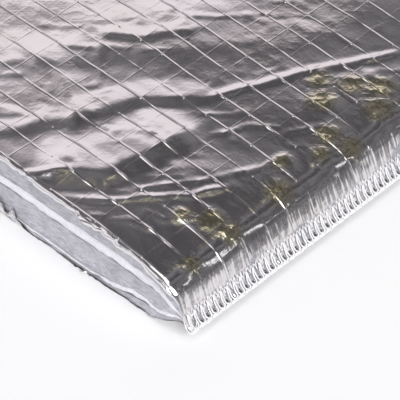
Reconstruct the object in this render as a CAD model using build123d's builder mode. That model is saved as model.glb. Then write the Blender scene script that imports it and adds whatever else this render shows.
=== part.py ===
from build123d import *
import math
import os

# Driving dimensions, in millimetres. X is the pad's width, Y its length and Z its thickness.
pad_length = 1830.0
pad_width = 510.0

# Films and scrim yarns keep their thickness everywhere.
film = 0.15
yarn = 0.25
scrim_pitch = 10.0
scrim_offset = 2.5

# Soft layers: thickness in the middle of the pad, and squeezed at the stitched edge.
wadding_squeezed = 0.3
foam_thickness = 2.0
foam_squeezed = 0.2
lower_wadding_thickness = 2.5
middle_wadding_thickness = 8.6
upper_wadding_thickness = 8.0

# Each long side swells from its squeezed edge, steeply at first and then gently.
steep_rise = 12.5
steep_length = 4.2
steep_power = 1.5
gentle_length = 40.0
shoulder_width = 90.0
shoulder_facets = 8

# The underside lifts a little off the ground beside the seam.
lift = 3.6
lift_inset = 5.0
lift_length = 8.0

# Overlock seam: looper strips cover both faces of the edge and meet in a bead outside it.
seam_width = 3.4
thread = 0.6
bead_width = 1.2

half_length = pad_length / 2
half_width = pad_width / 2
layer_edge = half_width - bead_width

# Bottom to top: name, thickness in the middle, thickness at the stitched edge.
stack = [
    ("bottom_outer_film", film, film),
    ("bottom_scrim_crosswise", yarn, yarn),
    ("bottom_scrim_lengthwise", yarn, yarn),
    ("bottom_backing_film", film, film),
    ("lower_wadding", lower_wadding_thickness, wadding_squeezed),
    ("lower_inner_film", film, film),
    ("lower_foam_sheet", foam_thickness, foam_squeezed),
    ("middle_wadding", middle_wadding_thickness, wadding_squeezed),
    ("upper_inner_film", film, film),
    ("upper_foam_sheet", foam_thickness, foam_squeezed),
    ("upper_wadding", upper_wadding_thickness, wadding_squeezed),
    ("top_backing_film", film, film),
    ("top_scrim_lengthwise", yarn, yarn),
    ("top_scrim_crosswise", yarn, yarn),
    ("top_outer_film", film, film),
]


def stacked_levels():
    # Lower and upper level of each layer, each as (offset in the middle, offset at the edge).
    levels = {}
    low = (0.0, 0.0)
    for name, middle, squeezed in stack:
        high = (low[0] + middle, low[1] + squeezed)
        levels[name] = (low, high)
        low = high
    return levels


levels = stacked_levels()
pad_thickness, edge_thickness = levels["top_outer_film"][1]
underside = (0.0, 0.0)
topside = (pad_thickness, edge_thickness)


def underside_height(inset):
    if inset >= shoulder_width:
        return 0.0
    return lift * math.exp(-(((inset - lift_inset) / lift_length) ** 2))


def topside_height(inset):
    # Two swells that together reach the pad's full thickness at the shoulder's end.
    along = min(inset, shoulder_width)
    edge = underside_height(0) + edge_thickness
    steep = 1 - math.exp(-((along / steep_length) ** steep_power))
    gentle = (1 - math.exp(-along / gentle_length)) / (1 - math.exp(-shoulder_width / gentle_length))
    steep_end = 1 - math.exp(-((shoulder_width / steep_length) ** steep_power))
    return edge + steep_rise * steep + (pad_thickness - edge - steep_rise * steep_end) * gentle


def station_height(inset, level):
    # A level lies between its squeezed and its full offset by how far the whole stack has swelled.
    middle, squeezed = level
    under = underside_height(inset)
    swelled = (topside_height(inset) - under - edge_thickness) / (pad_thickness - edge_thickness)
    return under + squeezed + (middle - squeezed) * swelled


# Distances in from the raw edge, closer together where the shoulder is steep.
shoulder_stations = [shoulder_width * (k / shoulder_facets) ** 2 for k in range(shoulder_facets + 1)]


def height_at(x, level):
    # Height of a level above x, on the straight facets between stations.
    inset = layer_edge - abs(x)
    if inset >= shoulder_width:
        return station_height(shoulder_width, level)
    after = next(i for i, station in enumerate(shoulder_stations) if station > inset)
    near, far = shoulder_stations[after - 1], shoulder_stations[after]
    share = (inset - near) / (far - near)
    return station_height(near, level) * (1 - share) + station_height(far, level) * share


def level_points(level):
    # Points (x, z) of a level from the left raw edge to the right one.
    left = [station - layer_edge for station in shoulder_stations]
    across = left + [-x for x in reversed(left)]
    return [(x, height_at(x, level)) for x in across]


def layer_slab(name, depth):
    # One layer's cross-section, pushed both ways along Y to the depth given.
    low, high = levels[name]
    with BuildPart() as slab:
        with BuildSketch(Plane.XZ):
            with BuildLine():
                Polyline(*level_points(low), *reversed(level_points(high)), close=True)
            make_face()
        extrude(amount=depth / 2, both=True)
    return slab.part


def lengthwise_yarns(name):
    # Straight yarns along Y, one every scrim pitch, each tilted with the shoulder under it.
    low, high = levels[name]
    most = int(half_width // scrim_pitch) + 1
    places = [scrim_offset + k * scrim_pitch for k in range(-most, most)]
    with BuildPart() as yarns:
        with BuildSketch(Plane.XZ):
            for middle in (x for x in places if abs(x) < layer_edge - yarn):
                sides = (middle - yarn / 2, middle + yarn / 2)
                with BuildLine():
                    under = [(x, height_at(x, low)) for x in sides]
                    over = [(x, height_at(x, high)) for x in reversed(sides)]
                    Polyline(*under, *over, close=True)
                make_face()
        extrude(amount=half_length, both=True)
    return yarns.part


def crosswise_yarns(name):
    # Yarns along X that follow the cross-section, one every scrim pitch, the first a pitch from the cut end.
    count = int(pad_length / scrim_pitch) - 1
    one_yarn = layer_slab(name, yarn)
    with BuildPart() as yarns:
        with GridLocations(0, scrim_pitch, 1, count):
            add(one_yarn)
    return yarns.part


def looper_thread(side, level, bead_level, outward):
    # A strip of crossing loops on one face of the stitched edge, turned into half of the bead outside it.
    insets = (seam_width, shoulder_stations[1], 0.0)
    face = [(side * (layer_edge - inset), height_at(layer_edge - inset, level)) for inset in insets]
    raised = [(x, z + outward * thread) for x, z in reversed(face)]
    bead = [
        (side * layer_edge, bead_level),
        (side * half_width, bead_level),
        (side * half_width, face[-1][1]),
    ]
    with BuildPart() as looper:
        with BuildSketch(Plane.XZ):
            with BuildLine():
                Polyline(*face, *bead, *raised, close=True)
            make_face()
        extrude(amount=half_length, both=True)
    return looper.part


def needle_thread(side):
    # The straight run of stitches on the top, just inside the looper's strip.
    near, far = seam_width + thread / 2, seam_width + thread * 3 / 2
    low = [(side * (layer_edge - inset), height_at(layer_edge - inset, topside)) for inset in (near, far)]
    high = [(x, z + thread) for x, z in reversed(low)]
    with BuildPart() as needle:
        with BuildSketch(Plane.XZ):
            with BuildLine():
                Polyline(*low, *high, close=True)
            make_face()
        extrude(amount=half_length, both=True)
    return needle.part


def write_part(part, name):
    part.label = name
    export_step(part, "parts/" + name + ".step", write_pcurves=False)
    print(name, "solids", len(part.solids()))


def main():
    os.makedirs("parts", exist_ok=True)
    for name, _, _ in stack:
        if name.endswith("lengthwise"):
            write_part(lengthwise_yarns(name), name)
        elif name.endswith("crosswise"):
            write_part(crosswise_yarns(name), name)
        else:
            write_part(layer_slab(name, pad_length), name)
    bead_level = (height_at(layer_edge, underside) + height_at(layer_edge, topside)) / 2
    for label, side in (("left", -1), ("right", 1)):
        write_part(looper_thread(side, topside, bead_level, 1), label + "_upper_looper_thread")
        write_part(looper_thread(side, underside, bead_level, -1), label + "_lower_looper_thread")
        write_part(needle_thread(side), label + "_needle_thread")
    print("pad thickness", pad_thickness, "stitched edge", edge_thickness)


main()
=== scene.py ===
import math
import bmesh
import bpy
import numpy as np
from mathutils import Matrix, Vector


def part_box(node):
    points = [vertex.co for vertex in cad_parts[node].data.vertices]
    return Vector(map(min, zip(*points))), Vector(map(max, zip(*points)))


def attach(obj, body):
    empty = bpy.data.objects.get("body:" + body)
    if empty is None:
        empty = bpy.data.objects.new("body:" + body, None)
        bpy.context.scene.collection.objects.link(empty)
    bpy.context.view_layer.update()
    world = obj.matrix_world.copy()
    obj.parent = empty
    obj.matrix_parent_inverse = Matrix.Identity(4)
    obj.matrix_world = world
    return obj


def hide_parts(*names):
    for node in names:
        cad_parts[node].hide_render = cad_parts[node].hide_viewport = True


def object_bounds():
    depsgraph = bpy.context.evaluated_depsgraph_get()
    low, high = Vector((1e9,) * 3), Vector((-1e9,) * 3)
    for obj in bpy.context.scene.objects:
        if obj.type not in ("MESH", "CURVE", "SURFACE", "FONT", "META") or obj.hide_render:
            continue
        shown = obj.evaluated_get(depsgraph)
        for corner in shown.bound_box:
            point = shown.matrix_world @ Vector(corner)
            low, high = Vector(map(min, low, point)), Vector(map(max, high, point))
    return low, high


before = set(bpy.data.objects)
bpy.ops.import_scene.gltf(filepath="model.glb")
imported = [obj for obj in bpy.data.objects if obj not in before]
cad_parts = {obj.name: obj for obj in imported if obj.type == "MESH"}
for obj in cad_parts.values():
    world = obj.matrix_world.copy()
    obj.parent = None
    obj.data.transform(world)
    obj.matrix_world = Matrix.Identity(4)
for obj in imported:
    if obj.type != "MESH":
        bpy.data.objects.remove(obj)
cadLow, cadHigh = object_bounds()
print("frame loaded:", len(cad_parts), "nodes")

mm = 0.001
halfLength = cadHigh.y / mm
thickness = cadHigh.z / mm
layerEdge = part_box("top_outer_film")[1].x / mm   # raw edge of the layers, inside the seam's bead


# the pad's shape, shared by every layer, in millimetres
padShape = {
    "scrimPitch": 10.0,
    "lengthwisePhase": 2.5,     # lengthwise yarns lie at this x, plus whole pitches
    "crosswisePhase": 5.0,      # crosswise yarns lie at this y, plus whole pitches
    "edgeTop": 4.3,             # height of the stitched edge
    "steepRise": 12.6,
    "steepLength": 4.9,         # at a cut end; along the seam the edge rolls over more slowly
    "slowerRoll": 0.25,
    "rollSettles": 18.0,
    "steepPower": 1.9,
    "gentleLength": 32.0,
    "lift": 4.9,                # the underside leaves the ground beside the seam
    "liftInset": 5.0,
    "liftLength": 7.5,
    "slant": 2.2,               # the cut runs outward towards the ground
    "slantInset": 2.0,
    "slantLength": 8.0,
}


def smoothStep(t):
    t = np.clip(t, 0, 1)
    return t * t * t * (t * (t * 6 - 15) + 10)


def softNoise(u, v, seed):
    # smooth random waves from -1 to 1, one lattice cell per unit
    table = np.random.default_rng(seed).random((256, 256)) * 2 - 1
    column, row = np.floor(u).astype(int), np.floor(v).astype(int)
    fu, fv = smoothStep(u - column), smoothStep(v - row)
    a = table[column % 256, row % 256]
    b = table[(column + 1) % 256, row % 256]
    c = table[column % 256, (row + 1) % 256]
    d = table[(column + 1) % 256, (row + 1) % 256]
    return a + (b - a) * fu + (c - a) * fv + (a - b - c + d) * fu * fv


def turnedNoise(x, y, degrees, size, seed):
    # noise that runs askew, in cells size[0] long and size[1] wide
    c, s = math.cos(math.radians(degrees)), math.sin(math.radians(degrees))
    return softNoise((x * c + y * s) / size[0], (-x * s + y * c) / size[1], seed)


def insets(x, y):
    # how far a point is from the nearest sewn edge, and from the nearest cut end
    return layerEdge - np.abs(x), halfLength - np.abs(y)


def surfaceHeights(inward, fromEnd):
    # (underside, top) of the whole stack, this far in from the raw edge and from the cut end
    s = padShape
    inward = np.maximum(inward, 0)
    steepLength = s["steepLength"] + s["slowerRoll"] * smoothStep(fromEnd / s["rollSettles"])
    steep = 1 - np.exp(-((inward / steepLength) ** s["steepPower"]))
    gentle = 1 - np.exp(-inward / s["gentleLength"])
    top = s["edgeTop"] + s["steepRise"] * steep + (thickness - s["edgeTop"] - s["steepRise"]) * gentle
    under = s["lift"] * np.exp(-(((inward - s["liftInset"]) / s["liftLength"]) ** 2))
    return under, top


def cutSlant(share, inward):
    # how far out the cut is, at this share of the stack's height
    s = padShape
    return s["slant"] * (1 - share) * smoothStep((inward - s["slantInset"]) / s["slantLength"])


def stations(low, high, phase, density):
    # places from low to high, with lines on every yarn and density(place) lines per pitch
    pitch = padShape["scrimPitch"]
    foot, tooClose = 0.05, 0.3
    found = [low]
    at = phase + pitch * math.floor((low - phase) / pitch)
    while at < high:
        lines = density(at + pitch / 2)
        steps = [k / lines for k in range(lines)]
        if lines > 6:      # a foot on each side of the yarn
            between = [foot + (1 - 2 * foot) * k / (lines - 2) for k in range(1, lines - 2)]
            steps = [0.0, foot] + between + [1 - foot]
        lined = [at + pitch * step for step in steps]
        found += [line for line in lined if low + tooClose < line < high - tooClose]
        at += pitch
    return np.array(found + [high])


def vertexPlaces(mesh):
    co = np.empty(len(mesh.vertices) * 3)
    mesh.vertices.foreach_get("co", co)
    return co.reshape(-1, 3)


def gridIndex(values, count):
    # which line of a grid from -1 to 1 each value is on
    return np.rint((values + 1) / 2 * (count - 1)).astype(int)


def shown(name, mesh, material):
    mesh.shade_smooth()
    mesh.materials.clear()
    mesh.materials.append(material)
    piece = bpy.data.objects.new(name, mesh)
    bpy.context.scene.collection.objects.link(piece)
    return piece


def meshFrom(bm, name):
    mesh = bpy.data.meshes.new(name)
    bm.to_mesh(mesh)
    bm.free()
    return mesh


def linear(hexColour):
    # an sRGB hex colour as the linear values that shaders take
    parts = [int(hexColour[k:k + 2], 16) / 255 for k in (1, 3, 5)]
    return [c / 12.92 if c <= 0.04045 else ((c + 0.055) / 1.055) ** 2.4 for c in parts] + [1.0]


def addNode(tree, kind, settings=None, **inputs):
    # a node with its settings; each input is a value or another node's output, and i0 is the first socket
    node = tree.nodes.new(kind)
    for key, value in (settings or {}).items():
        setattr(node, key, value)
    for key, value in inputs.items():
        numbered = key[0] == "i" and key[1:].isdigit()
        socket = node.inputs[int(key[1:]) if numbered else key.replace("_", " ")]
        if isinstance(value, bpy.types.NodeSocket):
            tree.links.new(value, socket)
        else:
            socket.default_value = value
    return node


def newMaterial(name, **values):
    # a material whose shader has these constant values
    material = bpy.data.materials.new(name)
    material.use_nodes = True
    tree = material.node_tree
    shader = tree.nodes["Principled BSDF"]
    for key, value in values.items():
        shader.inputs[key.replace("_", " ")].default_value = value
    return material, tree, shader


def patterned(tree, shader, tone, colours, positions, relief, depth):
    # the colour runs from the first to the second with tone, and relief stands up by depth in millimetres
    ramp = addNode(tree, "ShaderNodeValToRGB", Fac=tone)
    for element, position, colour in zip(ramp.color_ramp.elements, positions, colours):
        element.position = position
        element.color = linear(colour)
    tree.links.new(ramp.outputs[0], shader.inputs["Base Color"])
    bump = addNode(tree, "ShaderNodeBump", Strength=1.0, Distance=depth * mm, Height=relief)
    tree.links.new(bump.outputs[0], shader.inputs["Normal"])


filmFinish = {
    "colour": "#EBE8EA",
    # painted reflection: the olive glints of crumpled film, painted into its colour
    "paintedOliveReflection": "#E4DDBC",
    "crumpledRange": (0.1, 1.0),    # how crumpled the film is where the painted olive reflection starts, and is full
    "roughness": 0.13,
    "gatheredRoughness": 0.07,      # added beside the stitches
    # heights in millimetres
    "yarnRidge": 0.125,
    "faintRidge": 0.022,
    "knot": 0.05,
    "crumple": 0.065,
    "strongCrumple": 0.22,
    "gathers": 0.46,
    "fineCrumple": 0.031,
    # half widths of the ridges, and how far the yarns wander, in millimetres
    "yarnHalfWidth": 0.6,
    "faintHalfWidth": 0.4,
    "drift": 1.4,
    # patterns, in cells per metre
    "drifts": 45.0,         # 22 mm
    "patches": 85.0,        # 12 mm
    "facets": 150.0,        # 7 mm
    "crinkles": 130.0,      # 8 mm
    "pleats": 650.0,        # 1.5 mm
    "fineWrinkles": 700.0,  # 1.4 mm
}


def metallisedFilm():
    # vacuum-metallised polyester film, creased in handling: a mirror broken up by facets and yarn ridges
    f = filmFinish
    material, tree, shader = newMaterial("metallisedPolyesterFilm", Metallic=1.0)
    place = addNode(tree, "ShaderNodeTexCoord").outputs["Object"]
    crumpled = addNode(tree, "ShaderNodeAttribute", {"attribute_name": "crumpled"}).outputs["Fac"]
    gathered = addNode(tree, "ShaderNodeAttribute", {"attribute_name": "gathered"}).outputs["Fac"]

    drifts = addNode(tree, "ShaderNodeTexNoise", Vector=place, Scale=f["drifts"], Detail=2.0)
    centred = addNode(
        tree, "ShaderNodeVectorMath", {"operation": "SUBTRACT"},
        i0=drifts.outputs["Color"], i1=(0.5, 0.5, 0.5),
    )
    shift = addNode(
        tree, "ShaderNodeVectorMath", {"operation": "SCALE"}, i0=centred.outputs[0], Scale=f["drift"] * mm,
    )
    moved = addNode(tree, "ShaderNodeVectorMath", {"operation": "ADD"}, i0=place, i1=shift.outputs[0])
    wandering = moved.outputs[0]
    axes = addNode(tree, "ShaderNodeSeparateXYZ", i0=wandering)

    # a yarn shows strongly in some cells and hardly at all in others
    patches = addNode(tree, "ShaderNodeTexNoise", Vector=place, Scale=f["patches"], Detail=1.0).outputs[0]
    pull = addNode(
        tree, "ShaderNodeMapRange", Value=patches, From_Min=0.38, From_Max=0.62, To_Min=0.12, To_Max=1.0,
    ).outputs[0]
    ridges = []
    yarns = (("Y", "crosswisePhase", "yarnHalfWidth"), ("X", "lengthwisePhase", "faintHalfWidth"))
    for axis, phase, halfWidth in yarns:
        fromYarn = addNode(
            tree, "ShaderNodeMath", {"operation": "SUBTRACT"},
            i0=axes.outputs[axis], i1=padShape[phase] * mm,
        )
        away = addNode(
            tree, "ShaderNodeMath", {"operation": "PINGPONG"},
            i0=fromYarn.outputs[0], i1=padShape["scrimPitch"] * mm / 2,
        )
        ridges.append(addNode(
            tree, "ShaderNodeMapRange", {"interpolation_type": "SMOOTHSTEP"},
            Value=away.outputs[0], From_Min=0.0, From_Max=f[halfWidth] * mm, To_Min=1.0, To_Max=0.0,
        ).outputs[0])

    facets = addNode(tree, "ShaderNodeTexVoronoi", Vector=wandering, Scale=f["facets"], Randomness=1.0)
    crinkles = addNode(
        tree, "ShaderNodeTexNoise", {"noise_type": "RIDGED_MULTIFRACTAL"},
        Vector=wandering, Scale=f["crinkles"], Detail=2.0, Offset=1.0, Gain=2.0,
    ).outputs[0]
    # narrow pleats that the stitches draw into the film beside the seam
    drawnOut = addNode(tree, "ShaderNodeMapping", Vector=place, Scale=(0.10, 1.0, 0.10)).outputs[0]
    pleats = addNode(tree, "ShaderNodeTexNoise", Vector=drawnOut, Scale=f["pleats"], Detail=1.0).outputs[0]
    fine = addNode(
        tree, "ShaderNodeTexNoise", Vector=place, Scale=f["fineWrinkles"], Detail=3.0, Roughness=0.6,
    ).outputs[0]

    # the factors of each kind of relief, the last a height
    relief = (
        (ridges[0], pull, f["yarnRidge"] * mm),
        (ridges[1], pull, f["faintRidge"] * mm),
        (ridges[0], ridges[1], f["knot"] * mm),
        (facets.outputs["Distance"], f["crumple"] * mm),
        (crinkles, crumpled, f["strongCrumple"] * mm),
        (pleats, gathered, f["gathers"] * mm),
        (fine, f["fineCrumple"] * mm),
    )
    heights = []
    for height, *factors in relief:
        for factor in factors:
            product = addNode(tree, "ShaderNodeMath", {"operation": "MULTIPLY"}, i0=height, i1=factor)
            height = product.outputs[0]
        heights.append(height)
    total = heights[0]
    for height in heights[1:]:
        total = addNode(tree, "ShaderNodeMath", {"operation": "ADD"}, i0=total, i1=height).outputs[0]
    bump = addNode(tree, "ShaderNodeBump", Strength=1.0, Distance=1.0, Height=total)
    tree.links.new(bump.outputs[0], shader.inputs["Normal"])

    # the film's colour is painted olive where it is sharply crumpled, a painted reflection of olive glints,
    # and gathered film is duller
    low, high = f["crumpledRange"]
    paintedReflectionShare = addNode(
        tree, "ShaderNodeMapRange", Value=crumpled, From_Min=low, From_Max=high, To_Min=0.0, To_Max=1.0,
    )
    tint = addNode(
        tree, "ShaderNodeMix", {"data_type": "RGBA"},
        i0=paintedReflectionShare.outputs[0], i6=linear(f["colour"]), i7=linear(f["paintedOliveReflection"]),
    )
    tree.links.new(tint.outputs[2], shader.inputs["Base Color"])
    matt = addNode(
        tree, "ShaderNodeMath", {"operation": "MULTIPLY_ADD"},
        i0=gathered, i1=f["gatheredRoughness"], i2=f["roughness"],
    )
    tree.links.new(matt.outputs[0], shader.inputs["Roughness"])
    return material


waddingFinish = {
    "colours": ("#A4A3AB", "#E6E5EC"),
    "roughness": 0.95,
    "fibreDepth": 0.45,
    "fibreStretch": (0.25, 1.0, 1.6),
    # patterns, in cells per metre
    "streaks": 1500.0,      # 0.7 mm
    "hairs": 3200.0,        # 0.3 mm
    "patches": 120.0,       # 8 mm
    "hairShare": 0.6,
    "patchShare": 0.4,
    "range": (0.76, 1.24),  # the mixed patterns' values that give the first and the second colour
}


def fibreWadding():
    # needled polyester wadding, cut with a blade: matt, with short streaks of fibre
    w = waddingFinish
    material, tree, shader = newMaterial(
        "needledPolyesterWadding", Roughness=w["roughness"], Specular_IOR_Level=0.15,
    )
    place = addNode(tree, "ShaderNodeTexCoord").outputs["Object"]
    flat = addNode(tree, "ShaderNodeMapping", Vector=place, Scale=w["fibreStretch"]).outputs[0]
    streaks = addNode(
        tree, "ShaderNodeTexNoise", Vector=flat, Scale=w["streaks"], Detail=5.0, Roughness=0.65,
    ).outputs[0]
    hairs = addNode(tree, "ShaderNodeTexNoise", Vector=flat, Scale=w["hairs"], Detail=2.0).outputs[0]
    patches = addNode(tree, "ShaderNodeTexNoise", Vector=place, Scale=w["patches"], Detail=2.0).outputs[0]
    fibres = addNode(
        tree, "ShaderNodeMath", {"operation": "MULTIPLY_ADD"}, i0=hairs, i1=w["hairShare"], i2=streaks,
    ).outputs[0]
    mixed = addNode(
        tree, "ShaderNodeMath", {"operation": "MULTIPLY_ADD"}, i0=patches, i1=w["patchShare"], i2=fibres,
    ).outputs[0]
    low, high = w["range"]
    tone = addNode(tree, "ShaderNodeMapRange", Value=mixed, From_Min=low, From_Max=high).outputs[0]
    patterned(tree, shader, tone, w["colours"], (0.0, 1.0), fibres, w["fibreDepth"])
    return material


# cells per metre: 0.7 mm, coarser than the foam's own cells so that they show
foamFinish = {"colours": ("#FBFAFF", "#E6E5EE"), "roughness": 0.6, "cells": 1400.0, "cellDepth": 0.2}


def foamSheet():
    # closed-cell polyethylene foam: soft white with fine cells along the cut
    f = foamFinish
    material, tree, shader = newMaterial("polyethyleneFoam", Roughness=f["roughness"])
    place = addNode(tree, "ShaderNodeTexCoord").outputs["Object"]
    cells = addNode(tree, "ShaderNodeTexVoronoi", Vector=place, Scale=f["cells"]).outputs["Distance"]
    patterned(tree, shader, cells, f["colours"], (0.0, 1.0), cells, f["cellDepth"])
    return material


# ripples per metre: 3 mm
innerFilmFinish = {"colour": "#8A8A90", "roughness": 0.35, "ripples": 300.0, "rippleDepth": 0.3}


def innerFilm():
    # thin metallised film between the layers, seen only as a dark line
    f = innerFilmFinish
    material, tree, shader = newMaterial(
        "metallisedInnerFilm", Metallic=1.0, Roughness=f["roughness"], Base_Color=linear(f["colour"]),
    )
    place = addNode(tree, "ShaderNodeTexCoord").outputs["Object"]
    ripples = addNode(tree, "ShaderNodeTexNoise", Vector=place, Scale=f["ripples"], Detail=3.0).outputs[0]
    bump = addNode(tree, "ShaderNodeBump", Strength=1.0, Distance=f["rippleDepth"] * mm, Height=ripples)
    tree.links.new(bump.outputs[0], shader.inputs["Normal"])
    return material


# twists per metre: 0.4 mm
threadFinish = {"colours": ("#EDECF0", "#FFFFFF"), "roughness": 0.7, "twists": 2600.0, "twistDepth": 0.15}


def sewingThread():
    # spun polyester overlocking thread: white, twisted, slightly hairy
    t = threadFinish
    material, tree, shader = newMaterial("spunPolyesterThread", Roughness=t["roughness"], Sheen_Weight=0.3)
    place = addNode(tree, "ShaderNodeTexCoord").outputs["Object"]
    twists = addNode(tree, "ShaderNodeTexNoise", Vector=place, Scale=t["twists"], Detail=3.0).outputs[0]
    patterned(tree, shader, twists, t["colours"], (0.3, 0.7), twists, t["twistDepth"])
    return material


film = metallisedFilm()
wadding = fibreWadding()
foam = foamSheet()
inner = innerFilm()
thread = sewingThread()
print("materials made")


# the top facing's film, in millimetres
topFilm = {
    "fineAcross": 122.0,    # the finely modelled stretch beside the sewn corner
    "fineAlong": 132.0,
    "calmInset": 7.0,       # swell and ripple start this far in and grow over calmLength
    "calmLength": 22.0,
    "puckers": 0.26,        # the film is puckered beside the seam
    "puckerInset": 5.0,
    "puckerLength": 3.5,
    "rollInset": 5.4,       # where the film rolls over into the seam, at a cut end
    "rollFurther": 1.2,     # and how much further in it does so beyond the end
    "rollWander": 0.5,
    "ridge": 0.50,          # a broken ridge along the roll
    "ridgeWidths": (1.05, 1.1),
    "lip": 2.8,
    "lipTurn": 1.65,        # radians that the cut film turns down over the wadding
}

facingGrid = {
    # lines in each scrim pitch
    "fineLines": 9,
    "sewnEdgeLines": 4,
    "farEndLines": 3,
    "plainLines": 2,
    "margin": 20.0,                 # how wide the sewn edge and the far end are
    "rollSteps": (0.6, 9.0, 0.7),   # more columns on the rolled edge: from, to and step
    "lipShares": (0.15, 0.3, 0.45, 0.6, 0.8, 1.0),      # rows past each cut end
}

# swell, ripple and streaks: height, degrees, (length, width), seed
waves = {
    "swell": (0.55, 31, (42, 42), 4),
    "ripple": (0.20, 52, (30, 13), 5),
    "streaks": (0.045, 8, (14, 3.5), 6),
}

# creases: height, degrees, (length, width), how sharp, seed, then share, size and seed of where they show
creases = (
    (0.22, 40, (22, 10), 0.09, 7, 0.6, 19, 8),
    (0.11, 65, (13, 6), 0.14, 12, 0.0, 13, 15),
)

# long folds: points (in from the sewn edge, up from the cut end), height, widths of the lit and dark facets
longFolds = [
    (((60, -3), (46.6, 7), (37, 19), (28.3, 29), (20, 47.5)), 0.50, 2.6, 0.9),
    (((49, 9), (35, 30), (29, 40), (22, 55), (21, 68)), 0.30, 1.3, 0.8),
    (((58, 62), (52, 76), (42.5, 98.5), (33, 118), (25, 135)), 0.48, 2.2, 2.4),
    (((40, 2), (33, 8), (24, 11)), 0.30, 1.5, 0.8),
    (((36, 14), (27, 16), (19, 27)), 0.30, 1.3, 0.8),
    (((44, 52), (38, 66), (29, 74)), 0.28, 1.4, 0.8),
    (((30, 68), (24, 80), (16, 88)), 0.28, 1.2, 0.8),
    (((96, -2), (88, 14), (79, 33), (72, 50), (60, 62), (50, 70)), 0.42, 9.0, 4.6),
    (((118, 40), (103, 42), (92, 36), (82, 30), (74, 22)), 0.50, 7.0, 3.4),
    (((74, -4), (68, 4), (63, 12)), 0.40, 1.0, 3.0),
    (((106, 62), (92, 72), (80, 92)), 0.40, 5.0, 2.8),
    (((72, -2), (63, 9), (54, 18), (51, 38), (49, 60)), 1.05, 18.0, 7.5),
]
foldWander = {"reach": 0.5, "size": 6.0}
foldUnevenness = {"share": 0.3, "size": 13.0}
foldEnds = {"fade": 0.2, "narrowest": 0.4}      # share of the run that fades out, and how narrow it gets

# crumpled patches, where the film's colour also gets the painted olive reflection: in from the sewn edge,
# up from the cut end, radius
crumpledPatches = [
    (30, 92, 5), (18, 82, 4.5), (10, 84, 4), (14, 74, 3.5), (15, 103, 5), (28, 105, 4.5), (21, 111, 5),
    (12, 52, 5), (25, 22, 3), (18, 27, 4), (11, 28, 4), (10, 10, 3), (37, 99, 4), (12, 121, 5), (20, 62, 3),
]
lightlyCrumpled = {"amount": 0.16, "size": 24.0}
gathering = {"inset": 3.4, "length": 2.2}

# where the bottom film is torn and stands up at the near cut: in from the sewn edge, half width, height
tornPlaces = ((81.0, 6.5, 6.0), (44.0, 3.0, 1.3))


def cornerPlace(x, y):
    # in from the right sewn edge, and up from the near cut end
    return layerEdge - x, y + halfLength


def foldHeights(x, y):
    # each fold is a crest between a facet that catches the light and one turned away from it
    inward, up = cornerPlace(x, y)
    total = np.zeros_like(x)
    for run, height, lit, dark in longFolds:
        startInset, startUp = run[0]
        size = foldWander["size"]
        wander = foldWander["reach"] * softNoise(inward / size, up / size, int(startInset))
        nearest, side, share = np.full_like(x, 1e6), np.zeros_like(x), np.zeros_like(x)
        for k, ((ax, ay), (bx, by)) in enumerate(zip(run, run[1:])):
            long = math.hypot(bx - ax, by - ay)
            ux, uy = (bx - ax) / long, (by - ay) / long
            along = np.clip((inward - ax) * ux + (up - ay) * uy, 0, long)
            away = np.hypot(inward - ax - along * ux, up - ay - along * uy)
            closer = away < nearest
            nearest = np.where(closer, away, nearest)
            side = np.where(closer, (inward - ax) * uy - (up - ay) * ux, side)
            share = np.where(closer, (k + along / long) / (len(run) - 1), share)
        signed = np.where(side > 0, nearest, -nearest) + wander
        fade = smoothStep(share / foldEnds["fade"]) * smoothStep((1 - share) / foldEnds["fade"])
        narrowing = foldEnds["narrowest"] + (1 - foldEnds["narrowest"]) * fade
        facet = 1 - np.where(signed > 0, signed / lit, -signed / dark) / narrowing
        size = foldUnevenness["size"]
        uneven = 1 + foldUnevenness["share"] * softNoise(inward / size, up / size, int(startUp) + 60)
        total += height * uneven * fade * np.maximum(facet, 0)
    return total


def creaseHeights(x, y):
    # sharp folds along the lines where a noise changes sign
    total = 0.0
    for height, degrees, size, sharpness, seed, share, patch, patchSeed in creases:
        sharp = np.maximum(1 - np.abs(turnedNoise(x, y, degrees, size, seed)) / sharpness, 0)
        total = total + height * sharp * smoothStep(share + 2 * softNoise(x / patch, y / patch, patchSeed))
    return total


def topRelief(x, y):
    # how the top film stands away from the smooth stack under it
    t = topFilm
    inward, fromEnd = insets(x, y)
    swell, ripple, streaks = [
        height * turnedNoise(x, y, degrees, size, seed) for height, degrees, size, seed in waves.values()
    ]
    calm = smoothStep((inward - t["calmInset"]) / t["calmLength"])
    rollLine = t["rollInset"] + t["rollFurther"] * smoothStep((fromEnd - 8) / 30)
    beside = inward - rollLine - t["rollWander"] * softNoise(y / 12, 0.0, 3)
    ridge = t["ridge"] * np.exp(-(beside / np.where(beside > 0, *t["ridgeWidths"])) ** 2)
    ridge = ridge * smoothStep(0.85 + 1.5 * softNoise(y / 9, 0.0, 2))
    puckered = np.exp(-((inward - t["puckerInset"]) / t["puckerLength"]) ** 2)
    puckers = softNoise(y / 3.4, inward / 12, 9) + 0.9 * softNoise(y / 8, inward / 15, 10)
    gentle = (swell + ripple) * calm + streaks
    return gentle + creaseHeights(x, y) + ridge + t["puckers"] * puckered * puckers + foldHeights(x, y)


def topEdge(x, past, inward):
    # (out, down): past a cut end the top film turns down over the wadding, and crinkles
    t = topFilm
    short = 0.25 + 0.75 * smoothStep((inward - 2) / 8)
    reach = t["lip"] * (0.95 + 0.4 * softNoise(x / 7, 0.0, 13)) * short
    turn = t["lipTurn"] + 0.3 * softNoise(x / 8, 0.0, 14)
    crisp = past * (0.14 + 0.6 * np.maximum(softNoise(x / 9, 0.0, 18), 0))
    out = reach * np.sin(past * turn) / turn + crisp * softNoise(x / 1.1, past * 2.2, 16)
    down = reach * (1 - np.cos(past * turn)) / turn - 0.7 * crisp * softNoise(x / 1.3, past * 2.5, 19)
    return out, down


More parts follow.
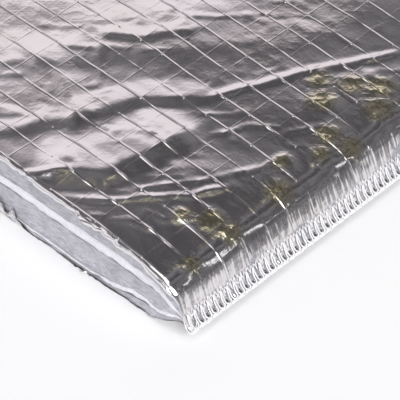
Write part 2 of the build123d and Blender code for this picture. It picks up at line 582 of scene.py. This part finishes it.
def bottomEdge(x, past, inward, fromEnd, nearEnd):
    # (out, up): past a cut end the bottom film sticks out a little and curls up
    curl = 0.25 + 0.5 * np.maximum(softNoise(x / 6, 0.0, 15), 0)
    crinkled = 0.0
    for inset, halfWidth, height in tornPlaces:
        torn = np.exp(-((layerEdge - inset - x) / halfWidth) ** 4) * nearEnd
        curl = curl + height * torn * (0.7 + 0.5 * softNoise(x / 2.2, 0.0, 20))
        crinkled = crinkled + torn
    crinkle = (0.25 + 1.3 * crinkled) * softNoise(x / 1.3, past * 2.5, 16)
    out = cutSlant(0.0, inward) * np.exp(-fromEnd / 1.5) + 0.5 * past + crinkle * past
    return out, curl * past ** 1.3 + 0.9 * crinkled * past * softNoise(x / 1.4, past * 3, 17)


def facing(name, top):
    # a sheet from a grid, with lines on the yarns and rows past each cut end
    g = facingGrid

    def across(x):
        if x > layerEdge - topFilm["fineAcross"]:
            return g["fineLines"]
        return g["sewnEdgeLines"] if abs(x) > layerEdge - g["margin"] else g["plainLines"]

    def along(y):
        if top and y < -halfLength + topFilm["fineAlong"]:
            return g["fineLines"]
        if abs(y) > halfLength - g["margin"]:
            return g["farEndLines"]
        return g["plainLines"] if top else 1

    columns = stations(-layerEdge, layerEdge, padShape["lengthwisePhase"], across)
    steep = np.arange(*g["rollSteps"])
    columns = np.unique(np.concatenate([columns, steep[::2] - layerEdge, layerEdge - steep]))
    rows = stations(-halfLength, halfLength, padShape["crosswisePhase"], along)
    lip = np.array(g["lipShares"])
    rows = np.concatenate([-halfLength - lip[::-1], rows, halfLength + lip])

    bm = bmesh.new()
    bmesh.ops.create_grid(bm, x_segments=len(columns) - 1, y_segments=len(rows) - 1, size=1.0)
    mesh = meshFrom(bm, name)
    flat = vertexPlaces(mesh)
    x, y = columns[gridIndex(flat[:, 0], len(columns))], rows[gridIndex(flat[:, 1], len(rows))]
    past = np.clip(np.abs(y) - halfLength, 0, 1)
    end = np.where(y < 0, -1, 1)
    y = np.clip(y, -halfLength, halfLength)
    inward, fromEnd = insets(x, y)
    under, over = surfaceHeights(inward, fromEnd)
    ragged = 0.4 * softNoise(x / 14, 0.0, 11 + top) + 0.15 * softNoise(x / 3, 0.0, 12 + top)
    y = y + end * ragged * np.exp(-fromEnd / 4)
    if top:
        out, down = topEdge(x, past, inward)
        z = over + topRelief(x, y) - down
    else:
        out, up = bottomEdge(x, past, inward, fromEnd, end < 0)
        z = under + 0.1 + up
    places = np.stack([x, y + end * out, np.maximum(z, 0.02)], axis=1)
    mesh.vertices.foreach_set("co", (places * mm).ravel())
    markCrumpled(mesh, top)
    return shown(name, mesh, film)


def markCrumpled(mesh, top):
    # how strongly the film is crumpled and gathered at each point, read by its material, which also paints
    # an olive reflection into the colour where it is crumpled
    x, y, _ = vertexPlaces(mesh).T / mm
    inward, up = cornerPlace(x, y)
    size = lightlyCrumpled["size"]
    crumpled = lightlyCrumpled["amount"] * smoothStep(0.2 + 2 * softNoise(x / size, y / size, 24))
    if top:
        for inset, along, radius in crumpledPatches:
            away = np.hypot(inward - inset, (up - along) / 1.2) / radius
            crumpled = np.maximum(crumpled, np.exp(-away ** 3))
    gathered = np.exp(-(((layerEdge - np.abs(x) - gathering["inset"]) / gathering["length"]) ** 2))
    for name, amount in (("crumpled", crumpled), ("gathered", gathered)):
        mesh.attributes.new(name, "FLOAT", "POINT").data.foreach_set("value", amount)


topFacing = facing("top_facing", True)
bottomFacing = facing("bottom_facing", False)
bottomFacing.data.flip_normals()
facings = ((topFacing, "top", "upper_wadding_layer"), (bottomFacing, "bottom", "lower_wadding_layer"))
for piece, side, nextLayer in facings:
    plies = ("outer_film", "scrim_crosswise", "scrim_lengthwise", "backing_film")
    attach(piece, "root")
    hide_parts(*[f"{side}_{ply}" for ply in plies])
print("facings made:", len(topFacing.data.polygons), "faces on top")


# how the soft layers between the facings share the stack
layerStack = {
    # where the two foam sheets' middles lie: (in from the sewn edge, share of the stack's height)
    "lowerRun": (
        (0, 0.20), (5, 0.16), (12, 0.18), (18, 0.26), (24, 0.24), (32, 0.13), (42, 0.085), (254, 0.085),
    ),
    "upperRun": (
        (0, 0.40), (5, 0.36), (8, 0.47), (11, 0.60), (15, 0.68),
        (24, 0.66), (45, 0.61), (90, 0.56), (254, 0.56),
    ),
    # half of each foam sheet's share; the lower one thins away from the edge
    "lowerHalf": 0.045,
    "lowerThins": 0.8,
    "thinsInset": 25.0,
    "thinsLength": 20.0,
    "upperHalf": 0.070,
    "filmShare": 0.012,
    "floor": 0.015,             # the soft layers' lowest and highest share
    "ceiling": 0.965,
    "thinnest": 0.008,
}
layerGrid = {
    "inset": 0.8,               # the soft layers stop just inside the facings' raw edge
    "fineAcross": 110.0,
    "fineLines": 8,
    "plainLines": 3,
    "ends": (0.0, 1.0, 3.0, 7.0, 13.0, 20.0, 30.0, 60.0),      # stations in from each cut end
}
layers = {
    # name: (CAD node, rows on the cut face, how far it stands out of the cut)
    "lower_wadding_layer": ("lower_wadding", 3, -0.3),
    "lower_inner_film_layer": ("lower_inner_film", 1, 0.0),
    "lower_foam_layer": ("lower_foam_sheet", 3, 0.4),
    "middle_wadding_layer": ("middle_wadding", 9, -0.2),
    "upper_inner_film_layer": ("upper_inner_film", 1, 0.0),
    "upper_foam_layer": ("upper_foam_sheet", 3, 0.5),
    "upper_wadding_layer": ("upper_wadding", 9, -0.2),
}
layerKinds = {
    "wadding": (wadding, "grey_wadding"),
    "foam": (foam, "white_foam"),
    "inner": (inner, "metallised_film"),
}


def layerShares(name, inward):
    # (lowest, highest) share of the stack's height that a layer takes
    s = layerStack
    lower, upper = [np.interp(inward, *np.array(s[run]).T) for run in ("lowerRun", "upperRun")]
    thins = 1 - s["lowerThins"] * smoothStep((inward - s["thinsInset"]) / s["thinsLength"])
    lowerHalf, upperHalf, filmShare = s["lowerHalf"] * thins, s["upperHalf"], s["filmShare"]
    bounds = {
        "lower_wadding_layer": (np.full_like(lower, s["floor"]), lower - lowerHalf - filmShare),
        "lower_inner_film_layer": (lower - lowerHalf - filmShare, lower - lowerHalf),
        "lower_foam_layer": (lower - lowerHalf, lower + lowerHalf),
        "middle_wadding_layer": (lower + lowerHalf, upper - upperHalf - filmShare),
        "upper_inner_film_layer": (upper - upperHalf - filmShare, upper - upperHalf),
        "upper_foam_layer": (upper - upperHalf, upper + upperHalf),
        "upper_wadding_layer": (upper + upperHalf, np.full_like(upper, s["ceiling"])),
    }
    low, high = bounds[name]
    return low, np.maximum(high, low + s["thinnest"])


def pushedGrid(name, columnCount, faceRows, stationCount):
    # a grid for the cut face, pushed through the stations to close a solid; z counts the stations
    bm = bmesh.new()
    bmesh.ops.create_grid(bm, x_segments=columnCount - 1, y_segments=faceRows, size=1.0)
    faces = bm.faces[:]
    for k in range(1, stationCount):
        pushed = bmesh.ops.extrude_face_region(bm, geom=faces)["geom"]
        faces = [g for g in pushed if isinstance(g, bmesh.types.BMFace)]
        for v in (g for g in pushed if isinstance(g, bmesh.types.BMVert)):
            v.co.z = k
    bmesh.ops.recalc_face_normals(bm, faces=bm.faces)
    return meshFrom(bm, name)


def softLayer(name, faceRows, proud, material):
    g = layerGrid
    edge = layerEdge - g["inset"]
    columns = stations(
        -edge, edge, 0.0, lambda x: g["fineLines"] if x > layerEdge - g["fineAcross"] else g["plainLines"],
    )
    places = np.array([-halfLength + e for e in g["ends"]] + [halfLength - e for e in reversed(g["ends"])])
    mesh = pushedGrid(name, len(columns), faceRows, len(places))
    grid = vertexPlaces(mesh)
    x = columns[gridIndex(grid[:, 0], len(columns))]
    rise = (grid[:, 1] + 1) / 2
    station = np.rint(grid[:, 2]).astype(int)
    y = places[station]
    inward, fromEnd = insets(x, y)
    under, over = surfaceHeights(inward, fromEnd)
    low, high = layerShares(name, inward)
    # neighbouring layers share one wave, so they stay face to face
    wave = 0.008 * softNoise(x / 24, y / 40, 50) + 0.003 * softNoise(x / 6, y / 40, 51)
    share = np.clip(low + (high - low) * rise + wave, layerStack["floor"], layerStack["ceiling"])
    z = under + (over - under) * share
    # at the cut the layer is tufted, slanted and pushed in or out
    atCut = (station == 0) | (station == len(places) - 1)
    end = np.where(station == 0, -1.0, 1.0)
    seed = sum(ord(c) for c in name)
    tufts = 0.35 * softNoise(x / 5, z / 1.2, seed + 2) + 0.22 * softNoise(x / 1.9, z / 0.9, seed + 3)
    bulge = proud * (1 - (2 * rise - 1) ** 2)
    squeezed = smoothStep((inward - 3) / 6)
    y = y + np.where(atCut, end * ((tufts + bulge) * squeezed + cutSlant(share, inward)), 0)
    mesh.vertices.foreach_set("co", (np.stack([x, y, z], axis=1) * mm).ravel())
    return shown(name, mesh, material)


for name, (node, faceRows, proud) in layers.items():
    material, slot = layerKinds[node.split("_")[1]]
    piece = softLayer(name, faceRows, proud, material)
    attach(piece, "root")
    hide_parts(node)
print("soft layers made")


# the overlock seams, in millimetres
seam = {
    "pitch": 2.9,
    "shake": 0.06,
    "needleShake": 2.5,     # the needle thread lies this many times less evenly
    "endGap": 0.2,
    "seed": 21,
}

# each stitch: points (inset, along, face: 0 underneath and 1 on top, lift off the surface)
upperStitch = [
    (-0.4, 0.00, 1.0, 0.30), (0.4, 0.01, 1.0, 0.34), (1.3, 0.02, 1.0, 0.36), (2.2, 0.03, 1.0, 0.50),
    (2.9, 0.15, 1.0, 0.75), (2.2, 0.27, 1.0, 0.50), (1.3, 0.29, 1.0, 0.36), (0.4, 0.30, 1.0, 0.34),
    (-0.4, 0.32, 1.0, 0.30), (-0.6, 0.55, 0.8, 0.0), (-0.6, 0.80, 0.8, 0.0),
]
lowerStitch = [
    (2.4, 0.02, 0.0, -0.35), (0.6, 0.05, 0.0, -0.35), (-0.6, 0.09, 0.1, 0.0), (-0.7, 0.25, 0.75, 0.0),
    (-0.75, 0.42, 0.35, 0.0), (-0.65, 0.58, 0.75, 0.0), (-0.75, 0.74, 0.35, 0.0), (-0.6, 0.88, 0.1, 0.0),
    (0.6, 0.93, 0.0, -0.35), (2.4, 0.97, 0.0, -0.35),
]
needleStitch = [
    (3.1, 0.00, 1.0, 0.30), (2.4, 0.10, 1.0, 0.85), (2.0, 0.22, 1.0, 0.75), (2.8, 0.34, 1.0, 0.35),
    (3.3, 0.46, 1.0, 0.30), (2.6, 0.56, 1.0, 0.80), (2.0, 0.66, 1.0, 0.90), (2.5, 0.76, 1.0, 0.45),
    (3.2, 0.86, 1.0, 0.60),
]
strands = (
    # name, stitch, radius; the lower looper's is wide because it makes the bead along the edge
    ("upper_looper", upperStitch, 0.30),
    ("lower_looper", lowerStitch, 0.58),
    ("needle", needleStitch, 0.17),
)
# the needle thread's loose end beside the near right corner: (inset, up from the cut end, height)
looseEnd = [
    (3.4, -0.3, 9.0), (2.2, -1.2, 6.2), (0.4, -1.4, 4.2), (-0.7, -0.9, 3.2), (-0.9, 0.6, 3.4),
    (0.2, 2.6, 5.4), (1.6, 3.3, 7.2), (2.5, 1.8, 8.4), (1.4, 0.4, 7.0), (0.2, 0.9, 5.2),
]


def seamStrand(name, points, radius):
    # a thread along its own path, as a curve turned into a mesh
    curve = bpy.data.curves.new(name, "CURVE")
    curve.dimensions = "3D"
    curve.bevel_depth = radius * mm
    curve.bevel_resolution = 1
    curve.resolution_u = 2
    curve.use_fill_caps = True
    spline = curve.splines.new("NURBS")
    spline.points.add(len(points) - 1)
    flat = np.concatenate([points * mm, np.ones((len(points), 1))], axis=1)
    spline.points.foreach_set("co", flat.ravel())
    spline.order_u = 3
    spline.use_endpoint_u = True
    holder = bpy.data.objects.new(name + "_path", curve)
    mesh = bpy.data.meshes.new_from_object(holder)
    mesh.name = name
    bpy.data.objects.remove(holder)
    return shown(name, mesh, thread)


def seamPath(side, stitch, which):
    # a stitch's points, repeated all along the edge
    s = seam
    isNeedle = stitch is needleStitch
    count = int(2 * halfLength / s["pitch"])
    rng = np.random.default_rng(s["seed"] + which + (side > 0))
    k = np.repeat(np.arange(count), len(stitch))
    inward, share, face, lift = np.tile(np.array(stitch), (count, 1)).T
    shake = rng.normal(0, s["shake"], (3, count * len(stitch))) * (s["needleShake"] if isNeedle else 1)
    inward = inward + shake[0]
    last = halfLength - s["endGap"]
    y = np.clip(-halfLength + (k + share) * s["pitch"] + shake[1], -last, last)
    _, fromEnd = insets(0, y)
    under, over = surfaceHeights(inward, fromEnd)
    nudge = 0.2
    further = surfaceHeights(inward + nudge, fromEnd)[1]
    nearer = surfaceHeights(inward - nudge, fromEnd)[1]
    slope = (further - nearer) / (2 * nudge) * face
    lean = np.sqrt(1 + slope ** 2)
    z = under + (over - under) * face + lift / lean + shake[2]
    x = side * (layerEdge - inward + lift * slope / lean)
    path = np.stack([x, y, z], axis=1)
    if isNeedle and side > 0:
        inset, up, height = np.array(looseEnd).T
        path = np.concatenate([np.stack([layerEdge - inset, up - halfLength, height], axis=1), path])
    return path


for label, side in (("left", -1), ("right", 1)):
    for which, (kind, stitch, radius) in enumerate(strands):
        piece = seamStrand(f"{label}_{kind}_strand", seamPath(side, stitch, which), radius)
        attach(piece, "root")
        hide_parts(f"{label}_{kind}_thread")
print("seams made")


# the floor, the dark cloth and the room, in metres
studio = {
    "floorSize": 60.0,
    "pale": "#FAFAFB",
    "floorGlow": 0.07,
    "cloth": "#5C5A5E",
    "clothGap": 0.11,           # the cloth starts this far from the sewn edge, and is this wide
    "clothWidth": 1.6,
    "clothBeyond": 0.9,         # and reaches this far past each end of the pad
    "room": "#FBF8FF",
    "darkRoom": 0.125,
    "lowRoom": 0.16,
    "horizon": (0.05, 0.45),    # how high the room changes from the low to the dark level
    "mottleScale": 7.0,
    "mottle": (0.5, 1.7),
}

# softboxes: azimuth, elevation, distance, width, height, brightness and colour; azimuth 0 is on the -Y
# side and 90 on the +X side, and brightness is what a mirror at the sewn corner would show
panels = {
    "backPanel": (246, 29.2, 4.0, 6.6, 2.4, 0.34, "#FFF6F9"),
    "backPanelCore": (238, 31.5, 4.0, 4.6, 1.1, 0.48, "#FFF8FA"),
    "keyPanel": (12, 28, 3.5, 2.4, 3.0, 2.2, "#FFFFFF"),
    "fillPanel": (-38, 27, 3.5, 2.2, 2.2, 0.80, "#FFFFFF"),
    "sidePanel": (84, 38, 3.5, 2.2, 2.2, 5.0, "#FFFFFF"),
    "ridgeStrip": (126, 31, 3.5, 0.50, 0.20, 1.5, "#FFFFFF"),
    "edgePanelNear": (106, 5, 3.5, 0.7, 0.8, 0.45, "#FFFFFF"),
    "edgePanelFar": (142, 7, 3.5, 0.7, 0.9, 0.55, "#FFFFFF"),
    "overheadPanel": (40, 86, 3.5, 2.4, 2.4, 1.4, "#FFFFFF"),
    "oliveStrip": (196, 68, 3.5, 0.11, 0.9, 0.90, "#D8D09A"),
    "oliveBar": (210, 66, 3.5, 0.8, 0.10, 0.90, "#D8D09A"),
}
view = {"azimuth": 43.85, "elevation": 43.35, "lens": 216.0, "fromCorner": (0.3517, -0.3637, 0.5372)}
corner = Vector((cadHigh.x, cadLow.y, 0.0))


def stagePlane(name, size, centre, material):
    bm = bmesh.new()
    bmesh.ops.create_grid(bm, x_segments=1, y_segments=1, size=0.5)
    bmesh.ops.scale(bm, verts=bm.verts, vec=(*size, 1.0))
    bmesh.ops.translate(bm, verts=bm.verts, vec=centre)
    plane = shown(name, meshFrom(bm, name), material)
    return plane


def makeFloor():
    paint = newMaterial(
        "paintedStudioFloor", Base_Color=linear(studio["pale"]), Roughness=0.9, Specular_IOR_Level=0.0,
        Emission_Color=linear("#FFFFFF"), Emission_Strength=studio["floorGlow"],
    )[0]
    stagePlane("studioFloor", (studio["floorSize"], studio["floorSize"]), (0, 0, 0), paint)


def makeDarkCloth():
    # a dark cloth beside the sewn edge, seen only in the film, so the edge doesn't mirror a white floor
    s = studio
    cloth = newMaterial("blackoutCloth", Base_Color=linear(s["cloth"]), Roughness=1.0)[0]
    size = (s["clothWidth"], cadHigh.y - cadLow.y + 2 * s["clothBeyond"])
    plane = stagePlane("darkCloth", size, (cadHigh.x + s["clothGap"] + s["clothWidth"] / 2, 0.0, mm), cloth)
    plane.visible_camera = plane.visible_diffuse = plane.visible_shadow = False


def makeRoom():
    # a dark studio for reflections; what the camera sees past the floor is pale
    s = studio
    world = bpy.data.worlds.new("studioRoom")
    bpy.context.scene.world = world
    world.use_nodes = True
    tree = world.node_tree
    tree.nodes.clear()
    place = addNode(tree, "ShaderNodeTexCoord").outputs["Generated"]
    axes = addNode(tree, "ShaderNodeSeparateXYZ", i0=place)
    level = addNode(
        tree, "ShaderNodeMapRange", {"interpolation_type": "SMOOTHSTEP"}, Value=axes.outputs["Z"],
        From_Min=s["horizon"][0], From_Max=s["horizon"][1], To_Min=s["lowRoom"], To_Max=s["darkRoom"],
    )
    uneven = addNode(tree, "ShaderNodeTexNoise", Vector=place, Scale=s["mottleScale"], Detail=2.0)
    shade = addNode(
        tree, "ShaderNodeMapRange", Value=uneven.outputs[0],
        From_Min=0.35, From_Max=0.65, To_Min=s["mottle"][0], To_Max=s["mottle"][1],
    )
    mottled = addNode(
        tree, "ShaderNodeMath", {"operation": "MULTIPLY"}, i0=level.outputs[0], i1=shade.outputs[0],
    )
    dark = addNode(tree, "ShaderNodeBackground", Color=linear(s["room"]), Strength=mottled.outputs[0])
    pale = addNode(tree, "ShaderNodeBackground", Color=linear(s["pale"]), Strength=1.0)
    seen = addNode(tree, "ShaderNodeLightPath").outputs["Is Camera Ray"]
    either = addNode(tree, "ShaderNodeMixShader", i0=seen, i1=dark.outputs[0], i2=pale.outputs[0])
    addNode(tree, "ShaderNodeOutputWorld", Surface=either.outputs[0])


def direction(azimuth, elevation):
    a, e = math.radians(azimuth), math.radians(elevation)
    return Vector((math.sin(a) * math.cos(e), -math.cos(a) * math.cos(e), math.sin(e)))


def staged(name, data, place, azimuth, elevation):
    # a light or camera there, looking back along that direction
    thing = bpy.data.objects.new(name, data)
    thing.location = place
    thing.rotation_mode = "QUATERNION"
    thing.rotation_quaternion = direction(azimuth, elevation).to_track_quat("Z", "Y")
    bpy.context.scene.collection.objects.link(thing)
    return thing


def makePanel(name, azimuth, elevation, distance, width, height, brightness, colour):
    light = bpy.data.lights.new(name, "AREA")
    light.shape = "RECTANGLE"
    light.size, light.size_y = width, height
    light.energy = brightness * math.pi * width * height
    light.color = linear(colour)[:3]
    place = corner + direction(azimuth, elevation) * distance
    staged(name, light, place, azimuth, elevation).visible_camera = False


def makeCamera():
    data = bpy.data.cameras.new("padCamera")
    data.lens = view["lens"]
    data.sensor_width = 36.0
    data.clip_start, data.clip_end = 0.01, 100.0
    place = corner + Vector(view["fromCorner"])
    bpy.context.scene.camera = staged("padCamera", data, place, view["azimuth"], view["elevation"])


makeFloor()
makeDarkCloth()
makeRoom()
for name, settings in panels.items():
    makePanel(name, *settings)
makeCamera()
bpy.context.scene.view_settings.view_transform = "Standard"
print("floor, light and camera made")
